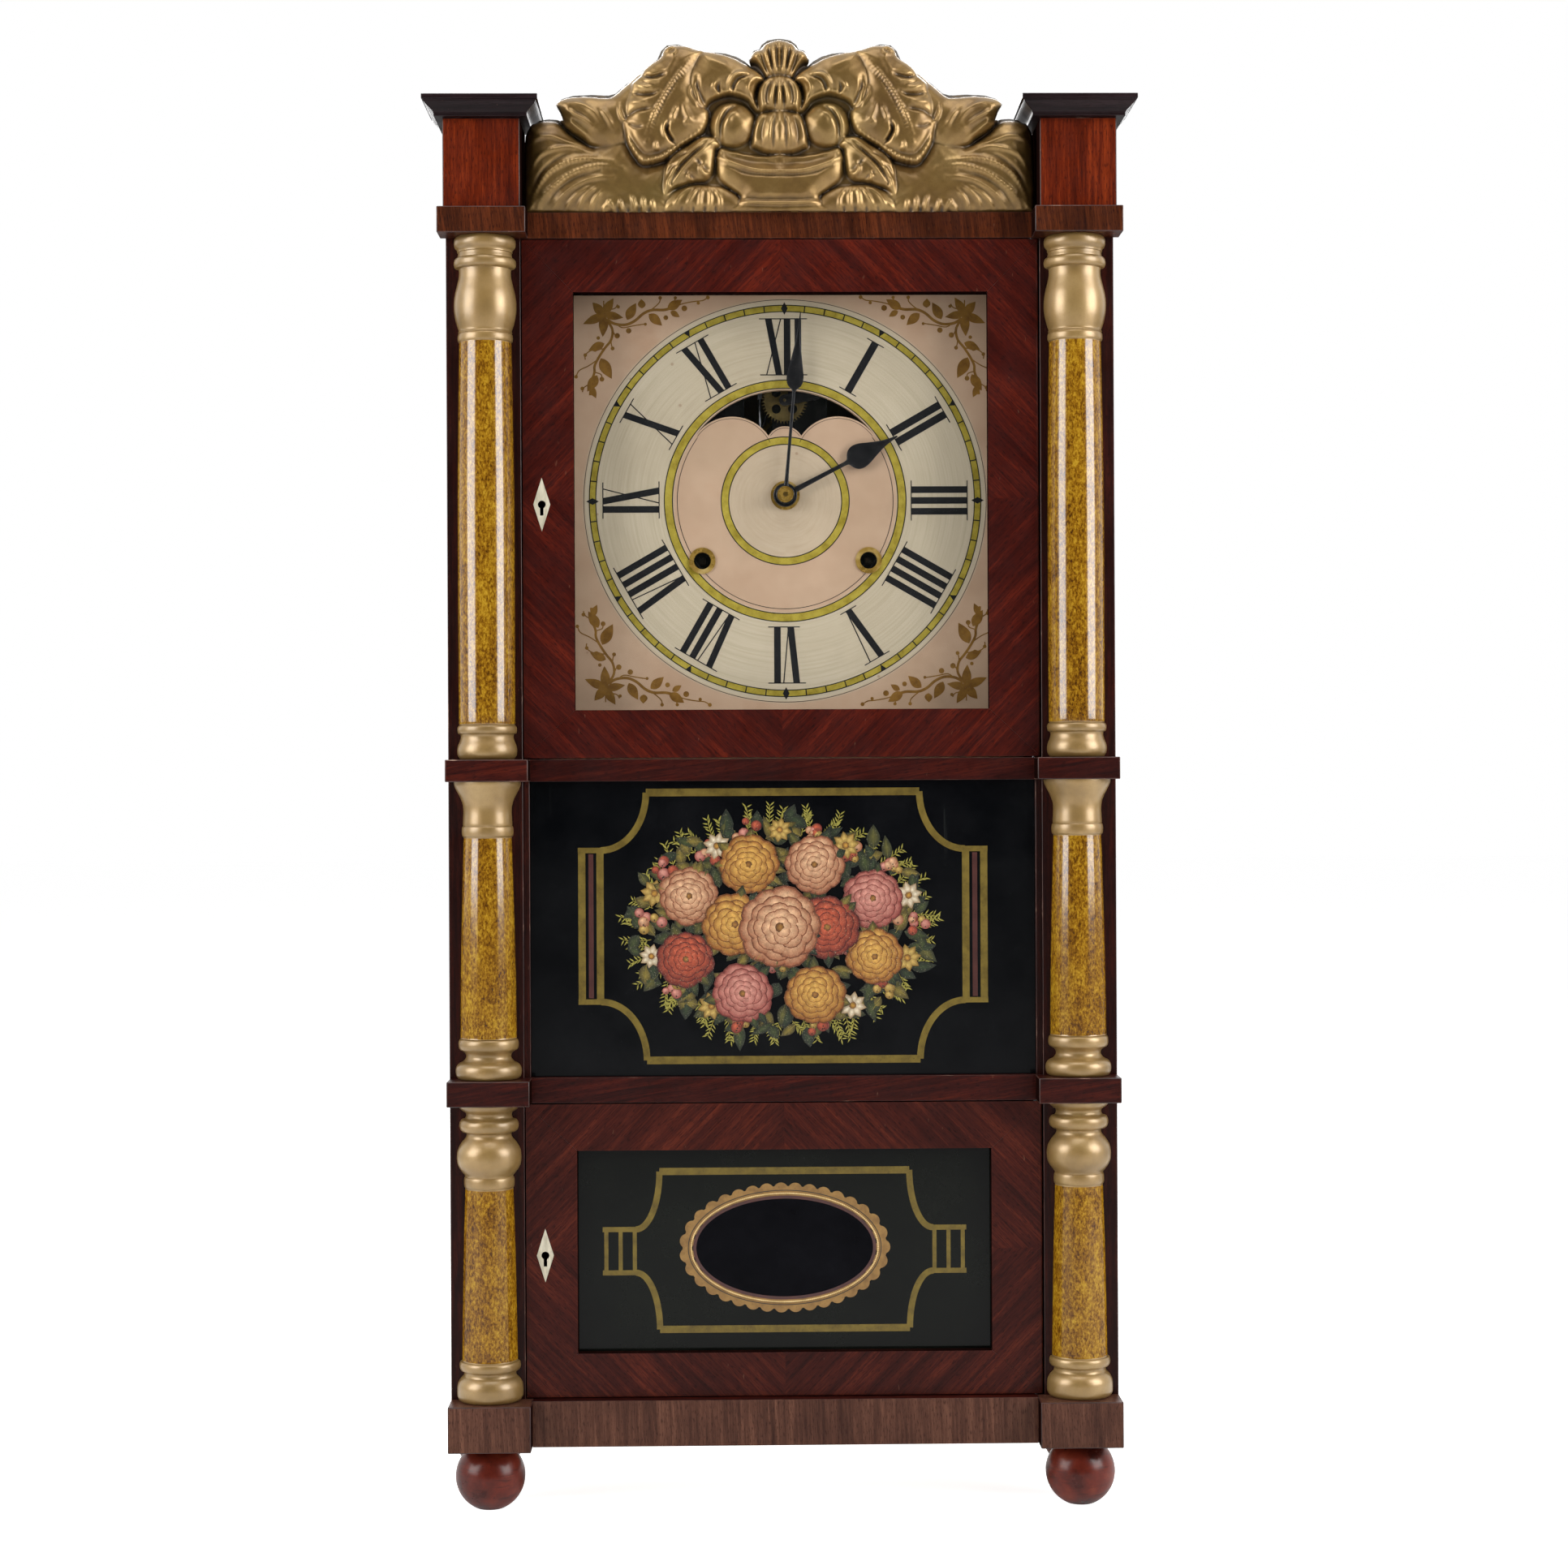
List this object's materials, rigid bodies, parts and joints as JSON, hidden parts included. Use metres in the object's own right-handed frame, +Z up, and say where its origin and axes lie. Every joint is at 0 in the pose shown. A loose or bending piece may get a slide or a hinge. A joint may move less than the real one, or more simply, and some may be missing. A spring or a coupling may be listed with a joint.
{
  "type": "shelf clock",
  "caption": "Tall shelf clock in mahogany with half columns, carved gilt crest, glazed dial door, painted glass tablets and a weight-driven striking movement.",
  "frame": {"origin": "on the floor under the middle of the clock, halfway across its depth", "axes": "+Z up, the front faces -Y, +X to the right as seen from the front"},
  "size_m": [0.448, 0.152, 0.93],
  "materials": {
    "rail_mahogany": "polished mahogany",
    "veneer_mahogany": "crossbanded mahogany veneer",
    "dark_mahogany": "dark varnished wood",
    "pine": "bare pine",
    "gilt_wood": "rubbed gold paint over carved wood",
    "sponged_gilt": "gold ground sponged with umber, varnished",
    "red_feet": "dark red stain, worn",
    "dial_paint": "cream paint",
    "door_glass": "clear window glass",
    "painted_glass": "glass painted black on the back with gold borders",
    "bone": "bone inlay",
    "black_steel": "blackened steel",
    "brass": "aged brass",
    "steel": "plain steel",
    "iron": "rough cast iron",
    "cord": "twisted linen"
  },
  "bodies": {
    "case": {"side_boards": "rail_mahogany", "back_board": "pine", "end_boards": "pine", "front_stiles": "rail_mahogany", "cross_rails": "rail_mahogany", "column_blocks": "rail_mahogany", "top_posts": "rail_mahogany", "post_caps": "dark_mahogany", "crest_splat": "gilt_wood", "upper_columns": "sponged_gilt", "middle_columns": "sponged_gilt", "lower_columns": "sponged_gilt", "ball_feet": "red_feet", "middle_tablet": "painted_glass", "tablet_stops": "rail_mahogany", "case_cleats": "pine", "door_pins": "steel", "dial_plate": "dial_paint", "dial_grommets": "brass", "front_plate": "brass", "back_plate": "brass", "gong": "iron", "pulley_brackets": "iron", "cord_runs": "cord", "time_cord_fall": "cord", "strike_cord_fall": "cord"},
    "upper_door": {"upper_door_frame": "veneer_mahogany", "upper_door_glass": "door_glass", "upper_escutcheon": "bone", "upper_lock": "iron"},
    "upper_lock_bolt": {"upper_bolt": "steel"},
    "lower_door": {"lower_door_frame": "veneer_mahogany", "lower_door_glass": "painted_glass", "lower_escutcheon": "bone", "lower_lock": "iron"},
    "lower_lock_bolt": {"lower_bolt": "steel"},
    "minute_arbor": {"centre_wheel": "brass", "minute_hand": "black_steel", "hand_nut": "brass"},
    "hour_pipe": {"hour_wheel": "brass", "hour_hand": "black_steel"},
    "motion_wheel": {"minute_wheel": "brass"},
    "intermediate_arbor": {"intermediate_wheel": "brass"},
    "time_great": {"time_great_wheel": "brass"},
    "time_winding": {"time_drum": "brass"},
    "third_arbor": {"third_wheel": "brass"},
    "escape_arbor": {"escape_wheel": "brass"},
    "verge_and_crutch": {"verge": "steel"},
    "pendulum": {"pendulum_rod": "steel", "pendulum_bob": "brass"},
    "strike_great": {"strike_great_wheel": "brass"},
    "strike_winding": {"strike_drum": "brass"},
    "pin_arbor": {"pin_wheel": "brass"},
    "cam_arbor": {"cam_wheel": "brass"},
    "fly_arbor": {"fly": "brass"},
    "hammer_arbor": {"hammer": "steel"},
    "time_pulley_wheel": {"time_pulley": "brass"},
    "strike_pulley_wheel": {"strike_pulley": "brass"},
    "time_drive_weight": {"time_weight": "iron"},
    "strike_drive_weight": {"strike_weight": "iron"}
  },
  "joints": [
    {"name": "upper_door_hinge", "type": "hinge", "parent": "case", "child": "upper_door", "pos_m": [0.16, -0.043, 0.639], "axis": [0, 0, 1], "range_deg": [0, 105]},
    {"name": "lower_door_hinge", "type": "hinge", "parent": "case", "child": "lower_door", "pos_m": [0.16, -0.043, 0.162], "axis": [0, 0, 1], "range_deg": [0, 105]},
    {"name": "upper_bolt_slide", "type": "slide", "parent": "upper_door", "child": "upper_lock_bolt", "axis": [-1, 0, 0], "range_m": [0, 0.006]},
    {"name": "lower_bolt_slide", "type": "slide", "parent": "lower_door", "child": "lower_lock_bolt", "axis": [-1, 0, 0], "range_m": [0, 0.006]},
    {"name": "minute_turn", "type": "hinge", "parent": "case", "child": "minute_arbor", "pos_m": [0.003, 0.004, 0.644], "axis": [0, 1, 0], "continuous": true},
    {"name": "hour_turn", "type": "hinge", "parent": "case", "child": "hour_pipe", "pos_m": [0.003, -0.008, 0.644], "axis": [0, 1, 0], "continuous": true},
    {"name": "motion_wheel_turn", "type": "hinge", "parent": "case", "child": "motion_wheel", "pos_m": [0.02104, -0.002, 0.63743], "axis": [0, 1, 0], "continuous": true},
    {"name": "intermediate_turn", "type": "hinge", "parent": "case", "child": "intermediate_arbor", "pos_m": [0.01903, 0.026, 0.61516], "axis": [0, 1, 0], "continuous": true},
    {"name": "time_great_turn", "type": "hinge", "parent": "case", "child": "time_great", "pos_m": [0.0567, 0.039, 0.602], "axis": [0, 1, 0], "continuous": true},
    {"name": "time_winding_turn", "type": "hinge", "parent": "time_great", "child": "time_winding", "pos_m": [0.0567, 0.025, 0.602], "axis": [0, 1, 0], "range_deg": [-2880, 0]},
    {"name": "third_turn", "type": "hinge", "parent": "case", "child": "third_arbor", "pos_m": [0.00916, 0.026, 0.67693], "axis": [0, 1, 0], "continuous": true},
    {"name": "escape_turn", "type": "hinge", "parent": "case", "child": "escape_arbor", "pos_m": [0.003, 0.02, 0.7068], "axis": [0, 1, 0], "continuous": true},
    {"name": "verge_rock", "type": "hinge", "parent": "case", "child": "verge_and_crutch", "pos_m": [0.003, -0.001, 0.7293], "axis": [0, 1, 0], "range_deg": [-3.5, 3.5]},
    {"name": "pendulum_swing", "type": "hinge", "parent": "case", "child": "pendulum", "pos_m": [-0.013, 0.0006, 0.7293], "axis": [0, 1, 0], "range_deg": [-3.5, 3.5]},
    {"name": "strike_great_turn", "type": "hinge", "parent": "case", "child": "strike_great", "pos_m": [-0.0507, 0.039, 0.602], "axis": [0, 1, 0], "continuous": true},
    {"name": "strike_winding_turn", "type": "hinge", "parent": "strike_great", "child": "strike_winding", "pos_m": [-0.0507, 0.025, 0.602], "axis": [0, 1, 0], "range_deg": [0, 2880]},
    {"name": "pin_wheel_turn", "type": "hinge", "parent": "case", "child": "pin_arbor", "pos_m": [-0.04398, 0.026, 0.64011], "axis": [0, 1, 0], "continuous": true},
    {"name": "cam_wheel_turn", "type": "hinge", "parent": "case", "child": "cam_arbor", "pos_m": [-0.03746, 0.026, 0.66445], "axis": [0, 1, 0], "continuous": true},
    {"name": "fly_turn", "type": "hinge", "parent": "case", "child": "fly_arbor", "pos_m": [-0.03099, 0.026, 0.68221], "axis": [0, 1, 0], "continuous": true},
    {"name": "hammer_lift", "type": "hinge", "parent": "case", "child": "hammer_arbor", "pos_m": [-0.009, 0.029, 0.586], "axis": [0, 1, 0], "range_deg": [0, 10]},
    {"name": "time_pulley_turn", "type": "hinge", "parent": "case", "child": "time_pulley_wheel", "pos_m": [0.162, 0.025, 0.789], "axis": [0, 1, 0], "range_deg": [-2057.5, 0]},
    {"name": "strike_pulley_turn", "type": "hinge", "parent": "case", "child": "strike_pulley_wheel", "pos_m": [-0.162, 0.025, 0.789], "axis": [0, 1, 0], "range_deg": [0, 2057.5]},
    {"name": "time_weight_fall", "type": "slide", "parent": "case", "child": "time_drive_weight", "axis": [0, 0, 1], "range_m": [0, 0.50265], "deforming": ["time_cord_fall"]},
    {"name": "strike_weight_fall", "type": "slide", "parent": "case", "child": "strike_drive_weight", "axis": [0, 0, 1], "range_m": [0, 0.50265], "deforming": ["strike_cord_fall"]}
  ],
  "couplings": [
    {"joint": "hour_turn", "follows": "minute_turn", "ratio": 0.083333},
    {"joint": "motion_wheel_turn", "follows": "minute_turn", "ratio": -0.33333},
    {"joint": "intermediate_turn", "follows": "minute_turn", "ratio": -0.25},
    {"joint": "time_great_turn", "follows": "minute_turn", "ratio": 0.041667},
    {"joint": "third_turn", "follows": "minute_turn", "ratio": -7.2},
    {"joint": "escape_turn", "follows": "minute_turn", "ratio": 57.6},
    {"joint": "verge_rock", "follows": "pendulum_swing", "ratio": 1},
    {"joint": "strike_great_turn", "follows": "pin_wheel_turn", "ratio": -0.10256},
    {"joint": "cam_wheel_turn", "follows": "pin_wheel_turn", "ratio": -8},
    {"joint": "fly_turn", "follows": "pin_wheel_turn", "ratio": 64},
    {"joint": "time_winding_turn", "follows": "time_weight_fall", "rad_per_m": -100},
    {"joint": "time_pulley_turn", "follows": "time_weight_fall", "rad_per_m": -71.429},
    {"joint": "strike_winding_turn", "follows": "strike_weight_fall", "rad_per_m": 100},
    {"joint": "strike_pulley_turn", "follows": "strike_weight_fall", "rad_per_m": 71.429}
  ]
}
